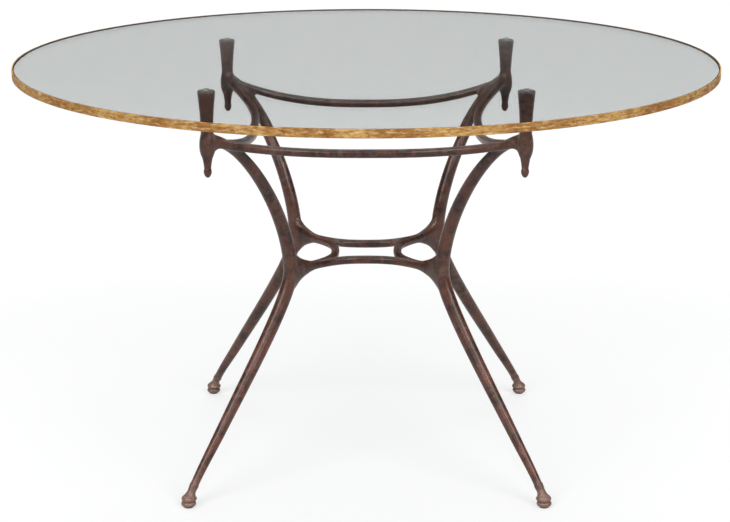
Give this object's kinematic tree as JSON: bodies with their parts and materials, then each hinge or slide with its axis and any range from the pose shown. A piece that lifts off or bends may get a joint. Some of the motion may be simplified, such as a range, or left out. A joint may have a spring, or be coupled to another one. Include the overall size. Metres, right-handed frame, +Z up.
{
  "type": "center table",
  "caption": "Round glass center table with a gilded edge band, on an open sculptural iron base of bent legs tied by bowed stretchers and waist rails.",
  "frame": {"origin": "on the floor under the centre of the round top", "axes": "+Z up; the front is -Y and +X is to the right; the legs lie on the diagonals between X and Y"},
  "size_m": [1.2998, 1.3, 0.76],
  "materials": {
    "top_glass": "polished, faint grey-green tint",
    "gilded_band": "gilded and worn back to brown in patches",
    "patinated_iron": "red-brown patina, waxed to a satin sheen",
    "clear_polyurethane": "clear",
    "steel_stud": "plain",
    "black_nylon": "matte"
  },
  "bodies": {
    "base": {"bumper_front_left": "clear_polyurethane", "bumper_front_right": "clear_polyurethane", "bumper_back_right": "clear_polyurethane", "bumper_back_left": "clear_polyurethane", "post_front_left": "patinated_iron", "post_front_right": "patinated_iron", "post_back_right": "patinated_iron", "post_back_left": "patinated_iron", "stud_front_left": "steel_stud", "stud_front_right": "steel_stud", "stud_back_right": "steel_stud", "stud_back_left": "steel_stud", "finial_front_left": "patinated_iron", "finial_front_right": "patinated_iron", "finial_back_right": "patinated_iron", "finial_back_left": "patinated_iron", "leg_front_left": "patinated_iron", "leg_front_right": "patinated_iron", "leg_back_right": "patinated_iron", "leg_back_left": "patinated_iron", "foot_front_left": "patinated_iron", "foot_front_right": "patinated_iron", "foot_back_right": "patinated_iron", "foot_back_left": "patinated_iron", "stretcher_front": "patinated_iron", "stretcher_right": "patinated_iron", "stretcher_back": "patinated_iron", "stretcher_left": "patinated_iron", "waist_rail_front": "patinated_iron", "waist_rail_right": "patinated_iron", "waist_rail_back": "patinated_iron", "waist_rail_left": "patinated_iron"},
    "top": {"glass_top": "top_glass", "edge_band": "gilded_band"},
    "leveller_front_left": {"glide_front_left": "patinated_iron", "sole_front_left": "black_nylon"},
    "leveller_front_right": {"glide_front_right": "patinated_iron", "sole_front_right": "black_nylon"},
    "leveller_back_right": {"glide_back_right": "patinated_iron", "sole_back_right": "black_nylon"},
    "leveller_back_left": {"glide_back_left": "patinated_iron", "sole_back_left": "black_nylon"}
  },
  "joints": [
    {"name": "top_lift", "type": "slide", "parent": "base", "child": "top", "axis": [0, 0, 1], "range_m": [0, 0.15]},
    {"name": "level_front_left", "type": "slide", "parent": "base", "child": "leveller_front_left", "axis": [0, 0, -1], "range_m": [0, 0.005]},
    {"name": "level_front_right", "type": "slide", "parent": "base", "child": "leveller_front_right", "axis": [0, 0, -1], "range_m": [0, 0.005]},
    {"name": "level_back_right", "type": "slide", "parent": "base", "child": "leveller_back_right", "axis": [0, 0, -1], "range_m": [0, 0.005]},
    {"name": "level_back_left", "type": "slide", "parent": "base", "child": "leveller_back_left", "axis": [0, 0, -1], "range_m": [0, 0.005]}
  ]
}
